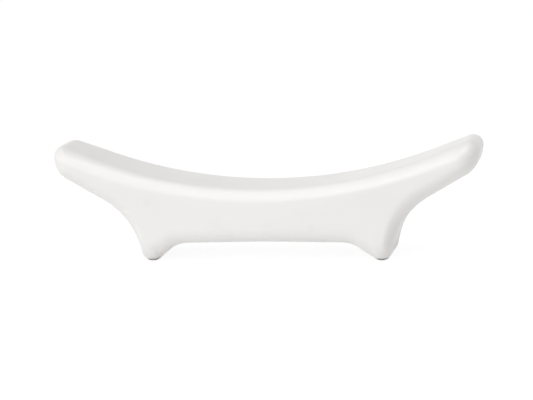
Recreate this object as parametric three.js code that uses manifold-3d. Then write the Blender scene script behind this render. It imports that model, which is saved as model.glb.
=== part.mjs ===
// A chopstick rest of white porcelain: a sagging bar on two feet, glazed all over except under its feet.
// Lengths are in millimetres and angles in degrees. X runs from tip to tip, Y from front to back and Z up.
// The origin lies on the table, under the middle of the rest.

import * as THREE from "three";
import { mergeVertices } from "three/addons/utils/BufferGeometryUtils.js";
import Module from "manifold-3d";

// Overall sizes
const LENGTH = 80; // from tip to tip
const DEPTH = 15; // from the front face to the back face
const HEIGHT = 21.75; // from the table to the highest point of the tips
const SADDLE_HEIGHT = 13.6; // from the table to the lowest point of the top
const BELLY_HEIGHT = 3.65; // from the table to the underside, midway between the feet
const FEET_SPACING = 43.3; // from the middle of one foot to the middle of the other
const TIP_THICKNESS = 5.3; // from the highest point of a tip down to its lower corner
const ARMPIT_HEIGHT = 8.6; // from the table to the corner between a leg and the arm over it

// The outline's straight sides: how each one slopes, and its inset, which is how far from it the front
// and back faces begin
const ARM_TOP = { straight: 5.7, inset: 2.4 }; // straight is what the saddle's arc leaves of it
const TIP_END = { lean: 12, inset: 3.5 };
const ARM_UNDERSIDE = { inset: 2.9 }; // it runs from the armpit to the tip
const LEG = { lean: 13.1, inset: 1.9 };
const FLANK = { slope: 39.3, inset: 3 };
const BELLY = { slope: 0.67, inset: 3 };

// The bends between the sides. Each has a radius halfway through the depth, a radius on the front and
// back faces, and a drop, which is how far below those faces the round-over reaches.
const TIP_TOP_BEND = { radius: 1.85, faceRadius: 0.2, drop: 4.8 };
const TIP_BOTTOM_BEND = { radius: 4.4, faceRadius: 0.3, drop: 4.5 };
const ARMPIT_BEND = { radius: 14.5, faceRadius: 12, drop: 3.7 };
const FOOT_BEND = { radius: 1.9, faceRadius: 1.25, drop: 3.7 };
const HAUNCH_BEND = { radius: 6.3, faceRadius: 0.6, drop: 2.5 };
const BELLY_BEND = { radius: 240, drop: 2.6 }; // without a face radius, a bend stays parallel to itself
const SADDLE_BEND = { drop: 2.8, endDrop: 3.8 }; // its radius follows from the tips and the arms' tops

// The glaze, and the bare porcelain that stands on the table
const GLAZE_THICKNESS = 0.35;
const GLAZE_CLEARANCE = 0.05; // between the glaze and the porcelain under it
const BARE_FOOT_HEIGHT = 0.3; // from the table to the edge of the glaze
const FOOT_GRIND = 0.15; // how much of the round foot is ground off to stand flat

// Fineness of the curves
const BEND_STEP = 10; // the most that one facet of a bend turns
const BEND_CHORD = 3; // the longest facet of a bend
const EDGE_STEPS = 5; // facets across a round-over
const OVERRUN = 1; // how far a cutting block passes what it cuts

const { degToRad, radToDeg, lerp } = THREE.MathUtils;
const MIDDLE = 0; // where the round-over leaves the outline
const FACE = Math.PI / 2; // where it meets the front or back face

function direction(degrees) {
  return new THREE.Vector2(Math.cos(degToRad(degrees)), Math.sin(degToRad(degrees)));
}

// A side of the outline faces outwards, and lies at its own distance from the origin
function sideThrough(degrees, point, inset) {
  const facing = direction(degrees);
  return { facing, distance: facing.dot(point), inset };
}

function sideTouching(degrees, circle, inset) {
  const side = sideThrough(degrees, circle.centre, inset);
  return { ...side, distance: side.distance + circle.radius };
}

// Where a side reaches a height
function pointAt(side, height) {
  return new THREE.Vector2((side.distance - side.facing.y * height) / side.facing.x, height);
}

// The round end of the right tip's top, which the arm's top and the tip's end both touch
const rightTip = {
  centre: new THREE.Vector2(LENGTH / 2 - TIP_TOP_BEND.radius, HEIGHT - TIP_TOP_BEND.radius),
  radius: TIP_TOP_BEND.radius,
};

// The saddle's arc is as wide as the straight ends of the arms leave it
function saddleRadius() {
  const rise = rightTip.centre.y - SADDLE_HEIGHT;
  const reach = Math.hypot(rightTip.centre.x, rise);
  return (reach ** 2 - rightTip.radius ** 2 - ARM_TOP.straight ** 2) / (2 * (rise + rightTip.radius));
}

// An arm's top leaves the saddle's arc on its tangent, and goes on to touch the tip's round end
function armTopSlope() {
  const down = SADDLE_HEIGHT + saddleRadius() - rightTip.centre.y;
  const toTip = Math.atan2(rightTip.centre.x, down);
  return radToDeg(toTip - Math.atan2(ARM_TOP.straight, saddleRadius() + rightTip.radius));
}

// The right half's sides, anticlockwise as seen from the front, from the belly up to the saddle
function rightSides() {
  const footCentre = new THREE.Vector2(FEET_SPACING / 2, FOOT_BEND.radius - FOOT_GRIND);
  const foot = { centre: footCentre, radius: FOOT_BEND.radius };
  const bellyMiddle = new THREE.Vector2(0, BELLY_HEIGHT);
  const leg = sideTouching(-LEG.lean, foot, LEG.inset);
  const tipEnd = sideTouching(-TIP_END.lean, rightTip, TIP_END.inset);
  const armpit = pointAt(leg, ARMPIT_HEIGHT);
  const tipCorner = pointAt(tipEnd, HEIGHT - TIP_THICKNESS);
  const armUndersideSlope = radToDeg(tipCorner.clone().sub(armpit).angle());
  return [
    sideThrough(-90 - BELLY.slope, bellyMiddle, BELLY.inset),
    sideTouching(-90 - FLANK.slope, foot, FLANK.inset),
    leg,
    sideThrough(-90 + armUndersideSlope, armpit, ARM_UNDERSIDE.inset),
    tipEnd,
    sideTouching(90 + armTopSlope(), rightTip, ARM_TOP.inset),
  ];
}

function mirrored(side) {
  return { ...side, facing: new THREE.Vector2(-side.facing.x, side.facing.y) };
}

// The whole outline is a closed row of bends, each with the side before it and the side after it
function wholeOutline() {
  const rightBends = [HAUNCH_BEND, FOOT_BEND, ARMPIT_BEND, TIP_BOTTOM_BEND, TIP_TOP_BEND];
  const right = rightSides();
  const sides = [...right, ...right.map(mirrored).reverse()];
  const saddleBend = { ...SADDLE_BEND, radius: saddleRadius(), fixed: true };
  const bends = [...rightBends, saddleBend, ...[...rightBends].reverse(), BELLY_BEND];
  return bends.map((bend, i) => {
    const before = sides[i];
    const after = sides[(i + 1) % sides.length];
    const turn = Math.atan2(before.facing.cross(after.facing), before.facing.dot(after.facing));
    return { ...bend, before, after, turn };
  });
}

// How far a side has moved inwards, part of the way round the round-over. Beneath is how deep the
// wanted surface lies under the glazed one.
function insetOf(side, roll, beneath) {
  return side.inset * (1 - Math.cos(roll)) + beneath * Math.cos(roll);
}

// How far a bend lies from the middle of the depth, part of the way round the round-over. Share is how
// much of the bend is past, and a bend's drop may differ at its two ends from that in its middle.
function depthOf(bend, roll, beneath, share) {
  const drop = lerp(bend.drop, bend.endDrop ?? bend.drop, (2 * share - 1) ** 2);
  return DEPTH / 2 - drop * (1 - Math.sin(roll)) - beneath * Math.sin(roll);
}

function radiusOf(bend, roll, beneath) {
  const outwards = Math.sign(bend.turn);
  if (bend.faceRadius) {
    return lerp(bend.radius, bend.faceRadius, 1 - Math.cos(roll)) - outwards * beneath * Math.cos(roll);
  }
  const insets = insetOf(bend.before, roll, beneath) + insetOf(bend.after, roll, beneath);
  return bend.radius - (outwards * insets) / 2;
}

// The corner that the two sides of a bend would make without it
function cornerOf({ before, after }, roll, beneath) {
  const a = before.facing;
  const b = after.facing;
  const reachA = before.distance - insetOf(before, roll, beneath);
  const reachB = after.distance - insetOf(after, roll, beneath);
  return new THREE.Vector2(reachA * b.y - reachB * a.y, reachB * a.x - reachA * b.x).divideScalar(a.cross(b));
}

// How large the round-overs and bends may be, as a share of what is asked for, on one side. What a
// fixed bend takes of the side is left to it.
function roundingShare(bend, next, roll) {
  const along = new THREE.Vector2(-bend.after.facing.y, bend.after.facing.x);
  const lengthAt = (angle) => cornerOf(next, angle, 0).sub(cornerOf(bend, angle, 0)).dot(along);
  const taken = (each, radius) => radius * Math.tan(Math.abs(each.turn) / 2);
  const fixed = [bend, next].filter((each) => each.fixed);
  const kept = fixed.reduce((sum, each) => sum + taken(each, each.radius), 0);
  const all = [bend, next].reduce((sum, each) => sum + taken(each, radiusOf(each, roll, 0)), 0);
  const wanted = lengthAt(MIDDLE) - lengthAt(roll) + all - kept;
  return (lengthAt(MIDDLE) - kept) / Math.max(wanted, Number.EPSILON);
}

// Where a side is too short for its bends, the round-overs and all bends but the fixed one shrink alike
function fitted(outline) {
  const shares = outline.flatMap((bend, i) => {
    const next = outline[(i + 1) % outline.length];
    return [MIDDLE, FACE].map((roll) => roundingShare(bend, next, roll));
  });
  const share = Math.min(1, ...shares);
  const shrunk = (side) => ({ ...side, inset: side.inset * share });
  return outline.map((bend) => {
    const sides = { before: shrunk(bend.before), after: shrunk(bend.after) };
    const drops = { drop: bend.drop * share, endDrop: bend.endDrop && bend.endDrop * share };
    const radius = bend.fixed ? bend.radius : bend.radius * share;
    const faceRadius = bend.faceRadius && bend.faceRadius * share;
    return { ...bend, ...sides, ...drops, radius, faceRadius };
  });
}

// One bend of a ring, as points along its arc
function bendPoints(bend, roll, beneath) {
  const radius = radiusOf(bend, roll, beneath);
  const outwards = Math.sign(bend.turn);
  const halfway = bend.before.facing.clone().add(bend.after.facing).normalize();
  const toCentre = (-outwards * radius) / Math.cos(bend.turn / 2);
  const centre = cornerOf(bend, roll, beneath).addScaledVector(halfway, toCentre);
  const arc = Math.abs(bend.turn);
  const steps = Math.ceil(Math.max(radToDeg(arc) / BEND_STEP, (arc * bend.radius) / BEND_CHORD));
  return Array.from({ length: steps + 1 }, (_, i) => {
    const spoke = bend.before.facing.clone().rotateAround(new THREE.Vector2(), (bend.turn * i) / steps);
    const point = centre.clone().addScaledVector(spoke, outwards * radius);
    return new THREE.Vector3(point.x, depthOf(bend, roll, beneath, i / steps), point.y);
  });
}

// The bar is a stack of rings from its front face to its back face, with a flat cap at each end
function barGeometry(beneath) {
  const outline = fitted(wholeOutline());
  const rolls = Array.from({ length: EDGE_STEPS + 1 }, (_, i) => lerp(MIDDLE, FACE, i / EDGE_STEPS));
  const backRings = rolls.map((roll) => outline.flatMap((bend) => bendPoints(bend, roll, beneath)));
  const frontRings = backRings.map((ring) => ring.map((p) => new THREE.Vector3(p.x, -p.y, p.z))).reverse();
  const rings = [...frontRings, ...backRings];
  const count = rings[0].length;
  const faces = [];
  for (let ring = 0; ring + 1 < rings.length; ring += 1) {
    for (let i = 0; i < count; i += 1) {
      const a = ring * count + i;
      const b = ring * count + ((i + 1) % count);
      faces.push(a, a + count, b + count, a, b + count, b);
    }
  }
  const cap = THREE.ShapeUtils.triangulateShape(rings[0].map((p) => new THREE.Vector2(p.x, p.z)), []);
  const last = (rings.length - 1) * count;
  for (const [a, b, c] of cap) {
    faces.push(a, b, c, last + a, last + c, last + b);
  }
  const geometry = new THREE.BufferGeometry().setFromPoints(rings.flat());
  geometry.setIndex(faces);
  return geometry;
}

// A block as long and deep as the rest, between two heights
function blockGeometry(bottom, top) {
  const geometry = new THREE.BoxGeometry(LENGTH + OVERRUN, DEPTH + OVERRUN, top - bottom);
  return geometry.translate(0, 0, (bottom + top) / 2);
}

const wasm = await Module();
wasm.setup();

function solid(geometry) {
  const bare = geometry.clone();
  bare.deleteAttribute("normal");
  bare.deleteAttribute("uv");
  const merged = mergeVertices(bare);
  const mesh = new wasm.Mesh({
    numProp: 3,
    vertProperties: new Float32Array(merged.attributes.position.array),
    triVerts: new Uint32Array(merged.index.array),
  });
  return new wasm.Manifold(mesh);
}

function piece(name, shape, material) {
  const { vertProperties, triVerts } = shape.getMesh();
  const geometry = new THREE.BufferGeometry();
  geometry.setAttribute("position", new THREE.BufferAttribute(vertProperties, 3));
  geometry.setIndex(new THREE.BufferAttribute(triVerts, 1));
  geometry.computeVertexNormals();
  const mesh = new THREE.Mesh(geometry, material);
  mesh.name = name;
  return mesh;
}

const glazedSurface = solid(barGeometry(0));

// The porcelain lies just under the glaze, and comes out to the full size at the feet, where it is bare
function porcelainBody() {
  const covered = solid(barGeometry(GLAZE_THICKNESS + GLAZE_CLEARANCE));
  const bareFeet = glazedSurface.intersect(solid(blockGeometry(0, BARE_FOOT_HEIGHT)));
  const material = new THREE.MeshStandardMaterial({ color: 0xe8e3d9, roughness: 0.8, metalness: 0 });
  return piece("porcelain_body", covered.add(bareFeet), material);
}

// The glaze is a skin of even thickness that stops just above the bare feet
function glazeCoat() {
  const inside = solid(barGeometry(GLAZE_THICKNESS));
  const bareBand = solid(blockGeometry(-OVERRUN, BARE_FOOT_HEIGHT + GLAZE_CLEARANCE));
  const material = new THREE.MeshStandardMaterial({ color: 0xf5f4f1, roughness: 0.2, metalness: 0 });
  return piece("glaze_coat", glazedSurface.subtract(inside).subtract(bareBand), material);
}

const chopstickRest = new THREE.Group();
chopstickRest.add(porcelainBody(), glazeCoat());

export default chopstickRest;
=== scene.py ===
# The looks of a white porcelain chopstick rest: its glaze, its bare feet, the studio and the camera.
# Lengths are in metres and angles in degrees. X runs from tip to tip, Y from front to back and Z up,
# and the origin lies on the table under the middle of the rest.

import math
from collections import namedtuple

import bmesh
import bpy
from mathutils import Matrix, Vector


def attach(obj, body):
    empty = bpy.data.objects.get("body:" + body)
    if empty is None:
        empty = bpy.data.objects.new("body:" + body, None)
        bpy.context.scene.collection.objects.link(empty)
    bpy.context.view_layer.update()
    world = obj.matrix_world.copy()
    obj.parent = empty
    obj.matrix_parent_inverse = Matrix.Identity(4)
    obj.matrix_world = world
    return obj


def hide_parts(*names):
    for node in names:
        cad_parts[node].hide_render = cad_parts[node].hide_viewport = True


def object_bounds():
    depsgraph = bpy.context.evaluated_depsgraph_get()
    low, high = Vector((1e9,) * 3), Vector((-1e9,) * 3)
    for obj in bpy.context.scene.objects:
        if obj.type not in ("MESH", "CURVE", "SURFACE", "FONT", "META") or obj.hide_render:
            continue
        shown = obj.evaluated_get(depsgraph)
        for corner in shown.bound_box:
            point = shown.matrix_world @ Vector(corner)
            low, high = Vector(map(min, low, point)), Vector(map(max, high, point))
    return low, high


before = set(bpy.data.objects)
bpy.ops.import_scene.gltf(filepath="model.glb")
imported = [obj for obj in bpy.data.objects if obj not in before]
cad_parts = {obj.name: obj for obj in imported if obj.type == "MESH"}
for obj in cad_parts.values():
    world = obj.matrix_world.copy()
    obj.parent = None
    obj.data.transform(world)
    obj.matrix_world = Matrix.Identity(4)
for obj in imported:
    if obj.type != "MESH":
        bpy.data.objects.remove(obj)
cad_low, cad_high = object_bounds()

# Overall sizes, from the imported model
LENGTH = cad_high[0] - cad_low[0]
DEPTH = cad_high[1] - cad_low[1]
HEIGHT = cad_high[2] - cad_low[2]

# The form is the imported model's own, drawn in finer steps.
# Heights and widths of the outline:
SADDLE_HEIGHT = 0.0136  # from the table to the lowest point of the top
BELLY_HEIGHT = 0.00365  # from the table to the underside, midway between the feet
FEET_SPACING = 0.0433  # from the middle of one foot to the middle of the other
TIP_THICKNESS = 0.0053  # from the highest point of a tip down to its lower corner
ARMPIT_HEIGHT = 0.0086  # from the table to the corner between a leg and the arm over it
ARM_TOP_STRAIGHT = 0.0057  # what the saddle's arc leaves of the arm's top

# How the straight sides slope
TIP_END_LEAN = 12
LEG_LEAN = 13.1
FLANK_SLOPE = 39.3
BELLY_SLOPE = 0.67

# The inset of each straight side: how far from it the front and back faces begin
ARM_TOP_INSET = 0.0024
TIP_END_INSET = 0.0035
ARM_UNDERSIDE_INSET = 0.0029
LEG_INSET = 0.0019
FLANK_INSET = 0.003
BELLY_INSET = 0.003

# The bends between the sides. Each has a radius halfway through the depth, a radius on the front and
# back faces, and a drop, which is how far below those faces the round-over reaches.
# The saddle's drop grows towards its ends.
Rounding = namedtuple("Rounding", "radius face_radius drop")
TIP_TOP_BEND = Rounding(radius=0.00185, face_radius=0.0002, drop=0.0048)
TIP_BOTTOM_BEND = Rounding(radius=0.0044, face_radius=0.0003, drop=0.0045)
ARMPIT_BEND = Rounding(radius=0.0145, face_radius=0.012, drop=0.0037)
FOOT_BEND = Rounding(radius=0.0019, face_radius=0.00125, drop=0.0037)
HAUNCH_BEND = Rounding(radius=0.0063, face_radius=0.0006, drop=0.0025)
BELLY_BEND = Rounding(radius=0.24, face_radius=None, drop=0.0026)  # it stays parallel to itself
SADDLE_DROP = 0.0028
SADDLE_END_DROP = 0.0038

# The glaze and the bare feet
GLAZE_THICKNESS = 0.00035
GLAZE_CLEARANCE = 0.00005  # between the glaze and the porcelain under it
BARE_FOOT_HEIGHT = 0.0003  # from the table to the edge of the glaze
FOOT_GRIND = 0.00015  # how much of the round foot is ground off to stand flat
LIP_STEPS = 6  # facets round the edge of the glaze

# Fineness of the curves
BEND_STEP = 2.5  # the most that one facet of a bend turns
BEND_CHORD = 0.0008  # the longest facet of a bend
EDGE_STEPS = 16  # facets across a round-over
SIDE_STEPS = 10  # facets along a straight side

# The glaze's colours, and the sizes of what shows in it. Layers are how many finer copies of itself a
# pattern carries.
GLAZE_WHITE = (0.874, 0.862, 0.844, 1)
GLAZE_COOL_WHITE = (0.861, 0.852, 0.838, 1)
SMUDGE_GREY = (0.77, 0.758, 0.738, 1)
SPECK_BROWN = (0.36, 0.31, 0.25, 1)
CLOUD_SIZE = 0.011
CLOUD_LAYERS = 3
SMUDGE_SIZE = 0.0045
SMUDGE_LAYERS = 2
SPECK_SPACING = 0.0055
SPECK_RADIUS = 0.00011
PINHOLE_SPACING = 0.0037
PINHOLE_RADIUS = 0.00009
PINHOLE_DEPTH = 0.00002
RIPPLE_SIZE = 0.0035
RIPPLE_LAYERS = 1
RIPPLE_HEIGHT = 0.00002
SATIN_SIZE = 0.006
SATIN_LAYERS = 4
GLOSSY_ROUGHNESS = 0.28
SATIN_ROUGHNESS = 0.34
GLAZE_IOR = 1.5

# Two faint grey marks on the front face, as across and up from the origin
MARKS = [(-0.02126, 0.01153), (0.00948, 0.00677)]
MARK_RADIUS = 0.0011
MARK_STRENGTH_SHARE = 0.28

# Where a pattern's value starts to show, and where it shows in full
CLOUD_SHARES = (0.3, 0.75)
SMUDGE_SHARES = (0.55, 0.85)
SATIN_SHARES = (0.25, 0.8)

# How much of the glaze's own colour the smudges and specks hide
SMUDGE_STRENGTH_SHARE = 0.14
SPECK_STRENGTH_SHARE = 0.2

# The fine rubbing that chopsticks leave on the saddle. It starts where the surface faces upwards by
# the first of the two shares, and is full from the second on.
WORN_REACH = 0.017  # from the middle of the saddle
WORN_FADE = 0.006
WORN_UPWARD_SHARES = (0.7, 0.95)
RUB_WIDTH = 0.00022
RUB_LENGTH = 0.004
RUB_LAYERS = 2
RUB_HEIGHT = 0.000001
RUB_ROUGHNESS = 0.08  # on top of the glaze's own

# The bare porcelain under the feet. It is ground smoother where it faces straight down.
BISQUE_PALE = (0.86, 0.842, 0.812, 1)
BISQUE_STAINED = (0.76, 0.73, 0.686, 1)
STAIN_SIZE = 0.0016
STAIN_LAYERS = 4
STAIN_SHARES = (0.45, 0.7)
GRAIN_SIZE = 0.00016
GRAIN_LAYERS = 3
GRAIN_HEIGHT = 0.00002
BISQUE_ROUGHNESS = 0.85
GROUND_ROUGHNESS = 0.6
GROUND_UPWARD_SHARES = (-0.9, -0.99)

# The camera, fitted to the photograph's outline
CAMERA_AZIMUTH = 12.88
CAMERA_ELEVATION = 11.06
CAMERA_ROLL = -2.962
CAMERA_DISTANCE = 0.3484
CAMERA_TARGET_HEIGHT = 0.01129
CAMERA_LENS = 126.51
CAMERA_SENSOR = 36
PICTURE_WIDTH = 533  # pixels
TARGET_RIGHT_OF_CENTRE = 1.56  # pixels
TARGET_ABOVE_CENTRE = 4.69  # pixels

# The studio. Azimuth 0 is in front of the rest and 90 on its right, and power is in watts.
WHITE = (1, 1, 1, 1)
STAGE_PAINT = (0.9, 0.9, 0.9, 1)
SHADED_PAINT = (0.13, 0.13, 0.13, 1)
GLOW_STRENGTH = 0.93
STAGE_RADIUS = 1.6
STAGE_COVE = 0.4
STAGE_HEIGHT = 0.55
STAGE_SIDES = 96
COVE_STEPS = 12
LAMP_DISTANCE = 1.1
SOFTBOX_SIZE = 0.8
Softbox = namedtuple("Softbox", "name azimuth elevation power")
SOFTBOXES = [
    Softbox("high_key", azimuth=-25, elevation=42, power=3.1),
    Softbox("low_key", azimuth=-25, elevation=22, power=1.2),
    Softbox("side", azimuth=-60, elevation=22, power=1.6),
    Softbox("overhead", azimuth=0, elevation=88, power=2.6),
    Softbox("fill", azimuth=45, elevation=65, power=1.9),
]
WORLD_STRENGTH = 0.36

# A side of the outline faces outwards, and lies at its own distance from the origin. A bend is the
# round corner between the side before it and the side after it.
Side = namedtuple("Side", "facing distance inset")
Bend = namedtuple("Bend", "radius face_radius drop end_drop before after turn")

DOWN = Vector((0, 0, -1))


def direction(degrees):
    return Vector((math.cos(math.radians(degrees)), math.sin(math.radians(degrees))))


def side_through(degrees, point, inset):
    facing = direction(degrees)
    return Side(facing, facing.dot(point), inset)


# A side that touches a circle, with the circle inside the outline
def side_touching(degrees, centre, radius, inset):
    facing = direction(degrees)
    return Side(facing, facing.dot(centre) + radius, inset)


# Where a side reaches a height
def point_at(side, height):
    return Vector(((side.distance - side.facing.y * height) / side.facing.x, height))


# The saddle's arc is as wide as the straight ends of the arms leave it. Tip is the centre of the
# right tip's round end.
def saddle_radius(tip):
    rise = tip.y - SADDLE_HEIGHT
    squares = tip.x**2 + rise**2 - TIP_TOP_BEND.radius**2 - ARM_TOP_STRAIGHT**2
    return squares / (2 * (rise + TIP_TOP_BEND.radius))


# An arm's top leaves the saddle's arc on its tangent, and goes on to touch the tip's round end
def arm_top_slope(tip):
    down = SADDLE_HEIGHT + saddle_radius(tip) - tip.y
    to_tip = math.atan2(tip.x, down)
    return math.degrees(to_tip - math.atan2(ARM_TOP_STRAIGHT, saddle_radius(tip) + TIP_TOP_BEND.radius))


# The right half's sides, anticlockwise as seen from the front, from the belly up to the saddle
def right_sides(tip):
    foot = Vector((FEET_SPACING / 2, FOOT_BEND.radius - FOOT_GRIND))
    leg = side_touching(-LEG_LEAN, foot, FOOT_BEND.radius, LEG_INSET)
    tip_end = side_touching(-TIP_END_LEAN, tip, TIP_TOP_BEND.radius, TIP_END_INSET)
    armpit = point_at(leg, ARMPIT_HEIGHT)
    along_underside = point_at(tip_end, HEIGHT - TIP_THICKNESS) - armpit
    underside_slope = math.degrees(math.atan2(along_underside.y, along_underside.x))
    return [
        side_through(-90 - BELLY_SLOPE, Vector((0, BELLY_HEIGHT)), BELLY_INSET),
        side_touching(-90 - FLANK_SLOPE, foot, FOOT_BEND.radius, FLANK_INSET),
        leg,
        side_through(-90 + underside_slope, armpit, ARM_UNDERSIDE_INSET),
        tip_end,
        side_touching(90 + arm_top_slope(tip), tip, TIP_TOP_BEND.radius, ARM_TOP_INSET),
    ]


def mirrored(side):
    return Side(Vector((-side.facing.x, side.facing.y)), side.distance, side.inset)


# The whole outline is a closed row of bends, each with the side before it and the side after it
def whole_outline():
    tip = Vector((LENGTH / 2 - TIP_TOP_BEND.radius, HEIGHT - TIP_TOP_BEND.radius))
    right = right_sides(tip)
    sides = right + [mirrored(side) for side in reversed(right)]
    right_bends = [HAUNCH_BEND, FOOT_BEND, ARMPIT_BEND, TIP_BOTTOM_BEND, TIP_TOP_BEND]
    saddle_bend = Rounding(saddle_radius(tip), None, SADDLE_DROP)
    roundings = right_bends + [saddle_bend] + right_bends[::-1] + [BELLY_BEND]
    outline = []
    for i, rounding in enumerate(roundings):
        end_drop = SADDLE_END_DROP if rounding is saddle_bend else rounding.drop
        before = sides[i]
        after = sides[(i + 1) % len(sides)]
        turn = math.atan2(before.facing.cross(after.facing), before.facing.dot(after.facing))
        outline.append(Bend(*rounding, end_drop, before, after, turn))
    return outline


# How far a side has moved inwards, part of the way round the round-over. Beneath is how deep the
# wanted surface lies under the glazed one.
def inset_of(side, roll, beneath):
    return side.inset * (1 - math.cos(roll)) + beneath * math.cos(roll)


# How far a bend lies from the middle of the depth, part of the way round the round-over, where a
# share of the bend is past
def depth_of(bend, roll, beneath, share):
    drop = bend.drop + (bend.end_drop - bend.drop) * (2 * share - 1) ** 2
    return DEPTH / 2 - drop * (1 - math.sin(roll)) - beneath * math.sin(roll)


# A bend without a radius on the faces stays parallel to itself
def radius_of(bend, roll, beneath):
    outwards = math.copysign(1, bend.turn)
    if bend.face_radius:
        tightened = bend.radius + (bend.face_radius - bend.radius) * (1 - math.cos(roll))
        return tightened - outwards * beneath * math.cos(roll)
    insets = inset_of(bend.before, roll, beneath) + inset_of(bend.after, roll, beneath)
    return bend.radius - outwards * insets / 2


# The corner that the two sides of a bend would make without it
def corner_of(bend, roll, beneath):
    a = bend.before.facing
    b = bend.after.facing
    reach_a = bend.before.distance - inset_of(bend.before, roll, beneath)
    reach_b = bend.after.distance - inset_of(bend.after, roll, beneath)
    return Vector((reach_a * b.y - reach_b * a.y, reach_b * a.x - reach_a * b.x)) / a.cross(b)


# One bend of a ring, as points along its arc
def bend_points(bend, roll, beneath):
    radius = radius_of(bend, roll, beneath)
    outwards = math.copysign(1, bend.turn)
    halfway = (bend.before.facing + bend.after.facing).normalized()
    to_centre = -outwards * radius / math.cos(bend.turn / 2)
    centre = corner_of(bend, roll, beneath) + halfway * to_centre
    arc = abs(bend.turn)
    steps = math.ceil(max(math.degrees(arc) / BEND_STEP, arc * bend.radius / BEND_CHORD))
    points = []
    for i in range(steps + 1):
        spoke = Matrix.Rotation(bend.turn * i / steps, 2) @ bend.before.facing
        point = centre + spoke * (outwards * radius)
        points.append(Vector((point.x, depth_of(bend, roll, beneath, i / steps), point.y)))
    return points


# Points a little way apart along a straight side, from one bend's end to the next bend's start. They
# pass smoothly from the depth of the one to that of the other.
def side_points(start, end):
    points = []
    for i in range(1, SIDE_STEPS):
        share = i / SIDE_STEPS
        point = start.lerp(end, share)
        point.y = start.y + (end.y - start.y) * share * share * (3 - 2 * share)
        points.append(point)
    return points


def ring_points(outline, roll, beneath):
    arcs = [bend_points(bend, roll, beneath) for bend in outline]
    points = []
    for arc, following in zip(arcs, arcs[1:] + arcs[:1]):
        points += arc + side_points(arc[-1], following[0])
    return points


# The bar is a stack of rings from its front face to its back face, with a flat cap at each end
def bar_shape(beneath):
    outline = whole_outline()
    rolls = [math.pi / 2 * i / EDGE_STEPS for i in range(EDGE_STEPS + 1)]
    back = [ring_points(outline, roll, beneath) for roll in rolls]
    front = [[Vector((p.x, -p.y, p.z)) for p in ring] for ring in reversed(back)]
    shape = bmesh.new()
    rings = [[shape.verts.new(p) for p in ring] for ring in front + back]
    shape.faces.new(rings[0])
    shape.faces.new(reversed(rings[-1]))
    for ring, following in zip(rings, rings[1:]):
        for i in range(len(ring)):
            after = (i + 1) % len(ring)
            shape.faces.new((ring[i], following[i], following[after], ring[after]))
    for face in shape.faces:
        face.smooth = True
    return shape


# Takes away what lies under a height, or over it where facing is -1
def cut_at(shape, height, facing):
    everything = shape.verts[:] + shape.edges[:] + shape.faces[:]
    plane = {"plane_co": (0, 0, height), "plane_no": (0, 0, facing)}
    bmesh.ops.bisect_plane(shape, geom=everything, clear_inner=True, **plane)


def open_edges(shape):
    return [edge for edge in shape.edges if edge.is_boundary]


# The glaze ends in a round lip: half a circle, as wide as the glaze is thick, that curls in under it
def add_lip(shape):
    shape.normal_update()
    edges = open_edges(shape)
    ends = {vert for edge in edges for vert in edge.verts}
    rows = {vert: [vert] for vert in ends}
    lip_radius = GLAZE_THICKNESS / 2
    for vert, row in rows.items():
        inwards = -vert.normal
        down = (DOWN - inwards * inwards.dot(DOWN)).normalized()
        for i in range(1, LIP_STEPS + 1):
            angle = math.pi * i / LIP_STEPS
            curl = inwards * (1 - math.cos(angle)) + down * math.sin(angle)
            row.append(shape.verts.new(vert.co + curl * lip_radius))
    for edge in edges:
        loop = edge.link_loops[0]
        start = rows[loop.vert]
        end = rows[loop.link_loop_next.vert]
        for i in range(LIP_STEPS):
            face = shape.faces.new((end[i], start[i], start[i + 1], end[i + 1]))
            face.smooth = True


def glaze_shape():
    shape = bar_shape(0)
    cut_at(shape, BARE_FOOT_HEIGHT + GLAZE_CLEARANCE + GLAZE_THICKNESS / 2, 1)
    add_lip(shape)
    return shape


# The bare feet: the slice of the full-size bar that the glaze leaves, ground flat on the table
def bare_feet_shape():
    shape = bar_shape(0)
    for height, facing in ((0, 1), (BARE_FOOT_HEIGHT, -1)):
        cut_at(shape, height, facing)
        rims = open_edges(shape)
        flats = bmesh.ops.holes_fill(shape, edges=rims)["faces"]
        for rim in rims:
            rim.smooth = False
        for flat in flats:
            flat.smooth = False
    bmesh.ops.recalc_face_normals(shape, faces=shape.faces[:])
    return shape


# The porcelain under the glaze, and the bare feet that come out of it
def porcelain_shape():
    shape = bar_shape(GLAZE_THICKNESS + GLAZE_CLEARANCE)
    feet = bare_feet_shape()
    feet_mesh = bpy.data.meshes.new("bare_feet")
    feet.to_mesh(feet_mesh)
    feet.free()
    shape.from_mesh(feet_mesh)
    bpy.data.meshes.remove(feet_mesh)
    return shape


def add_piece(name, shape, material, replaced):
    mesh = bpy.data.meshes.new(name)
    shape.to_mesh(mesh)
    shape.free()
    mesh.materials.append(material)
    piece = bpy.data.objects.new(name, mesh)
    bpy.context.scene.collection.objects.link(piece)
    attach(piece, "root")
    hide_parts(replaced)


# The same size along each axis
def evenly(size):
    return (size, size, size)


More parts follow.
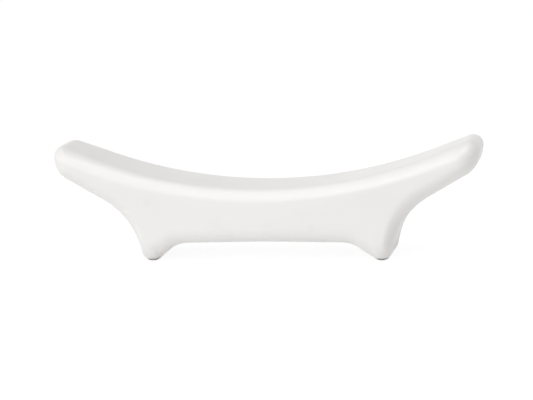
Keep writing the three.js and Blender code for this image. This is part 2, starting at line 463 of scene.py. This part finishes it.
# The node tree of one material. Sizes are those of the marks that a pattern makes.
class Recipe:
    def __init__(self, name):
        self.material = bpy.data.materials.new(name)
        self.material.use_nodes = True
        self.nodes = self.material.node_tree.nodes
        self.links = self.material.node_tree.links
        self.shader = self.nodes["Principled BSDF"]
        self.place = self.nodes.new("ShaderNodeTexCoord").outputs["Object"]
        self.facing = self.nodes.new("ShaderNodeNewGeometry").outputs["Normal"]

    # Gives a socket a number, a colour or what another node puts out
    def feed(self, socket, value):
        if isinstance(value, bpy.types.NodeSocket):
            self.links.new(value, socket)
        else:
            socket.default_value = value

    def result_of(self, operation, first, second=0):
        node = self.nodes.new("ShaderNodeMath")
        node.operation = operation
        self.feed(node.inputs[0], first)
        self.feed(node.inputs[1], second)
        return node.outputs[0]

    def part_of(self, vector, axis):
        node = self.nodes.new("ShaderNodeSeparateXYZ")
        self.links.new(vector, node.inputs[0])
        return node.outputs[axis]

    # The place, counted in sizes along each axis
    def counted(self, sizes):
        node = self.nodes.new("ShaderNodeVectorMath")
        node.operation = "DIVIDE"
        self.links.new(self.place, node.inputs[0])
        node.inputs[1].default_value = sizes
        return node.outputs[0]

    def noise(self, sizes, layers):
        node = self.nodes.new("ShaderNodeTexNoise")
        node.inputs["Scale"].default_value = 1
        node.inputs["Detail"].default_value = layers
        self.links.new(self.counted(sizes), node.inputs["Vector"])
        return node.outputs[0]

    # 0 where the value is at one end of the band, 1 at the other, and smooth between
    def band(self, value, zero_at, one_at):
        node = self.nodes.new("ShaderNodeMapRange")
        node.interpolation_type = "SMOOTHSTEP"
        self.links.new(value, node.inputs["Value"])
        node.inputs["From Min"].default_value = zero_at
        node.inputs["From Max"].default_value = one_at
        return node.outputs[0]

    # Soft round spots, each somewhere in its own cube of the spacing
    def spots(self, spacing, radius):
        node = self.nodes.new("ShaderNodeTexVoronoi")
        node.inputs["Scale"].default_value = 1
        self.links.new(self.counted(evenly(spacing)), node.inputs["Vector"])
        return self.band(node.outputs["Distance"], radius / spacing, radius / spacing / 2)

    # A soft round mark at one place
    def mark(self, centre, radius):
        node = self.nodes.new("ShaderNodeVectorMath")
        node.operation = "DISTANCE"
        self.links.new(self.place, node.inputs[0])
        node.inputs[1].default_value = centre
        return self.band(node.outputs["Value"], radius, 0)

    def colour_mix(self, share, first, second):
        node = self.nodes.new("ShaderNodeMix")
        node.data_type = "RGBA"
        colours = [socket for socket in node.inputs if socket.type == "RGBA"]
        self.feed(node.inputs[0], share)
        self.feed(colours[0], first)
        self.feed(colours[1], second)
        return [socket for socket in node.outputs if socket.type == "RGBA"][0]

    # Colours what lies under a pattern, as strongly as the share says
    def tinted(self, colour, pattern, strength_share, tint):
        shown = self.result_of("MULTIPLY", pattern, strength_share)
        return self.colour_mix(shown, colour, tint)

    # A number that passes from the first to the second as the share passes from 0 to 1
    def between(self, share, first, second):
        rise = self.result_of("MULTIPLY", share, second - first)
        return self.result_of("ADD", rise, first)

    # Raises the surface by the height where the pattern is 1, on top of an earlier bump
    def bump(self, pattern, height, earlier):
        node = self.nodes.new("ShaderNodeBump")
        node.inputs["Strength"].default_value = 1
        node.inputs["Distance"].default_value = height
        self.links.new(pattern, node.inputs["Height"])
        if earlier:
            self.links.new(earlier, node.inputs["Normal"])
        return node.outputs[0]


# 1 on the middle of the saddle's top, where the chopsticks lie
def worn_part(recipe):
    across = recipe.result_of("ABSOLUTE", recipe.part_of(recipe.place, "X"))
    middle = recipe.band(across, WORN_REACH, WORN_REACH - WORN_FADE)
    upwards = recipe.band(recipe.part_of(recipe.facing, "Z"), *WORN_UPWARD_SHARES)
    return recipe.result_of("MULTIPLY", middle, upwards)


def glaze_colour(recipe):
    clouds = recipe.band(recipe.noise(evenly(CLOUD_SIZE), CLOUD_LAYERS), *CLOUD_SHARES)
    colour = recipe.colour_mix(clouds, GLAZE_WHITE, GLAZE_COOL_WHITE)
    smudges = recipe.band(recipe.noise(evenly(SMUDGE_SIZE), SMUDGE_LAYERS), *SMUDGE_SHARES)
    colour = recipe.tinted(colour, smudges, SMUDGE_STRENGTH_SHARE, SMUDGE_GREY)
    for across, up in MARKS:
        mark = recipe.mark((across, -DEPTH / 2, up), MARK_RADIUS)
        colour = recipe.tinted(colour, mark, MARK_STRENGTH_SHARE, SMUDGE_GREY)
    specks = recipe.spots(SPECK_SPACING, SPECK_RADIUS)
    return recipe.tinted(colour, specks, SPECK_STRENGTH_SHARE, SPECK_BROWN)


def glaze_roughness(recipe, rubs):
    satin = recipe.band(recipe.noise(evenly(SATIN_SIZE), SATIN_LAYERS), *SATIN_SHARES)
    roughness = recipe.between(satin, GLOSSY_ROUGHNESS, SATIN_ROUGHNESS)
    rubbed = recipe.result_of("MULTIPLY", rubs, RUB_ROUGHNESS)
    return recipe.result_of("ADD", roughness, rubbed)


def glaze_relief(recipe, rubs):
    ripples = recipe.noise(evenly(RIPPLE_SIZE), RIPPLE_LAYERS)
    relief = recipe.bump(ripples, RIPPLE_HEIGHT, None)
    pinholes = recipe.spots(PINHOLE_SPACING, PINHOLE_RADIUS)
    relief = recipe.bump(pinholes, -PINHOLE_DEPTH, relief)
    return recipe.bump(rubs, RUB_HEIGHT, relief)


def glaze_material():
    recipe = Recipe("white_glaze")
    lines = recipe.noise((RUB_WIDTH, RUB_LENGTH, RUB_WIDTH), RUB_LAYERS)
    rubs = recipe.result_of("MULTIPLY", worn_part(recipe), lines)
    recipe.feed(recipe.shader.inputs["Base Color"], glaze_colour(recipe))
    recipe.feed(recipe.shader.inputs["Roughness"], glaze_roughness(recipe, rubs))
    recipe.feed(recipe.shader.inputs["Normal"], glaze_relief(recipe, rubs))
    recipe.feed(recipe.shader.inputs["IOR"], GLAZE_IOR)
    return recipe.material


def bisque_material():
    recipe = Recipe("bare_porcelain")
    stains = recipe.band(recipe.noise(evenly(STAIN_SIZE), STAIN_LAYERS), *STAIN_SHARES)
    colour = recipe.colour_mix(stains, BISQUE_PALE, BISQUE_STAINED)
    ground = recipe.band(recipe.part_of(recipe.facing, "Z"), *GROUND_UPWARD_SHARES)
    roughness = recipe.between(ground, BISQUE_ROUGHNESS, GROUND_ROUGHNESS)
    grain = recipe.noise(evenly(GRAIN_SIZE), GRAIN_LAYERS)
    recipe.feed(recipe.shader.inputs["Base Color"], colour)
    recipe.feed(recipe.shader.inputs["Roughness"], roughness)
    recipe.feed(recipe.shader.inputs["Normal"], recipe.bump(grain, GRAIN_HEIGHT, None))
    return recipe.material


# 1 for light that the camera sees straight, mirrored or through glass, and 0 for all other light
def seen_directly(nodes, links):
    path = nodes.new("ShaderNodeLightPath")
    seen = path.outputs["Is Camera Ray"]
    for ray in ("Is Glossy Ray", "Is Transmission Ray"):
        either = nodes.new("ShaderNodeMath")
        either.operation = "MAXIMUM"
        links.new(seen, either.inputs[0])
        links.new(path.outputs[ray], either.inputs[1])
        seen = either.outputs[0]
    return seen


# To the camera and in reflections the stage glows nearly white, and a little dark paint on top brings
# it to white where the lamps reach it and not in the shadow of the rest. To all other light it is
# plain pale paint.
def stage_material():
    material = bpy.data.materials.new("studio_white")
    material.use_nodes = True
    nodes = material.node_tree.nodes
    links = material.node_tree.links
    nodes.clear()
    output = nodes.new("ShaderNodeOutputMaterial")
    paint = nodes.new("ShaderNodeBsdfDiffuse")
    paint.inputs["Color"].default_value = STAGE_PAINT
    shade = nodes.new("ShaderNodeBsdfDiffuse")
    shade.inputs["Color"].default_value = SHADED_PAINT
    glow = nodes.new("ShaderNodeEmission")
    glow.inputs["Strength"].default_value = GLOW_STRENGTH
    shown = nodes.new("ShaderNodeAddShader")
    chosen = nodes.new("ShaderNodeMixShader")
    links.new(glow.outputs[0], shown.inputs[0])
    links.new(shade.outputs[0], shown.inputs[1])
    links.new(seen_directly(nodes, links), chosen.inputs["Fac"])
    links.new(paint.outputs[0], chosen.inputs[1])
    links.new(shown.outputs[0], chosen.inputs[2])
    links.new(chosen.outputs[0], output.inputs["Surface"])
    return material


# The floor turns up into a round wall, so that every view has the same backdrop. These points lead
# from the edge of the flat floor to the top of the wall.
def stage_profile():
    floor_radius = STAGE_RADIUS - STAGE_COVE
    profile = []
    for i in range(COVE_STEPS + 1):
        angle = math.pi / 2 * i / COVE_STEPS
        out = floor_radius + STAGE_COVE * math.sin(angle)
        profile.append(Vector((out, STAGE_COVE * (1 - math.cos(angle)))))
    profile.append(Vector((STAGE_RADIUS, STAGE_HEIGHT)))
    return profile


def add_stage():
    mesh = bpy.data.meshes.new("backdrop")
    shape = bmesh.new()
    turns = [2 * math.pi * i / STAGE_SIDES for i in range(STAGE_SIDES)]
    rings = []
    for point in stage_profile():
        places = [(point.x * math.cos(turn), point.x * math.sin(turn), point.y) for turn in turns]
        rings.append([shape.verts.new(place) for place in places])
    shape.faces.new(rings[0])
    for low_ring, high_ring in zip(rings, rings[1:]):
        for i in range(STAGE_SIDES):
            after = (i + 1) % STAGE_SIDES
            shape.faces.new((low_ring[i], low_ring[after], high_ring[after], high_ring[i]))
    shape.to_mesh(mesh)
    shape.free()
    mesh.materials.append(stage_material())
    backdrop = bpy.data.objects.new("backdrop", mesh)
    bpy.context.scene.collection.objects.link(backdrop)


# A square soft lamp that faces the middle of the rest
def add_softbox(softbox):
    azimuth = math.radians(softbox.azimuth)
    elevation = math.radians(softbox.elevation)
    out = Vector((math.sin(azimuth), -math.cos(azimuth), 0)) * math.cos(elevation)
    out.z = math.sin(elevation)
    data = bpy.data.lights.new(softbox.name, "AREA")
    data.size = SOFTBOX_SIZE
    data.energy = softbox.power
    lamp = bpy.data.objects.new(softbox.name, data)
    lamp.location = out * LAMP_DISTANCE
    lamp.rotation_euler = out.to_track_quat("Z", "Y").to_euler()
    bpy.context.scene.collection.objects.link(lamp)


# The camera stands where the photograph's outline fits
def add_camera():
    azimuth = math.radians(CAMERA_AZIMUTH)
    elevation = math.radians(CAMERA_ELEVATION)
    across = Vector((math.cos(azimuth), math.sin(azimuth), 0))
    back = Vector((math.sin(azimuth), -math.cos(azimuth), 0)) * math.cos(elevation)
    back.z = math.sin(elevation)
    level = Matrix((across, back.cross(across), back)).transposed().to_4x4()
    target = Vector((0, 0, CAMERA_TARGET_HEIGHT))
    turned = level @ Matrix.Rotation(math.radians(CAMERA_ROLL), 4, "Z")
    data = bpy.data.cameras.new("camera")
    data.lens = CAMERA_LENS
    data.sensor_width = CAMERA_SENSOR
    data.shift_x = -TARGET_RIGHT_OF_CENTRE / PICTURE_WIDTH
    data.shift_y = -TARGET_ABOVE_CENTRE / PICTURE_WIDTH
    camera = bpy.data.objects.new("camera", data)
    camera.matrix_world = Matrix.Translation(target + back * CAMERA_DISTANCE) @ turned
    bpy.context.scene.collection.objects.link(camera)
    bpy.context.scene.camera = camera


# An even pale light from all round
def add_world():
    world = bpy.data.worlds.new("studio")
    world.use_nodes = True
    background = world.node_tree.nodes["Background"]
    background.inputs["Strength"].default_value = WORLD_STRENGTH
    background.inputs["Color"].default_value = WHITE
    bpy.context.scene.world = world


add_camera()
add_piece("porcelain", porcelain_shape(), bisque_material(), "porcelain_body")
add_piece("glaze", glaze_shape(), glaze_material(), "glaze_coat")

add_stage()
for softbox in SOFTBOXES:
    add_softbox(softbox)

add_world()
bpy.context.scene.view_settings.view_transform = "Standard"
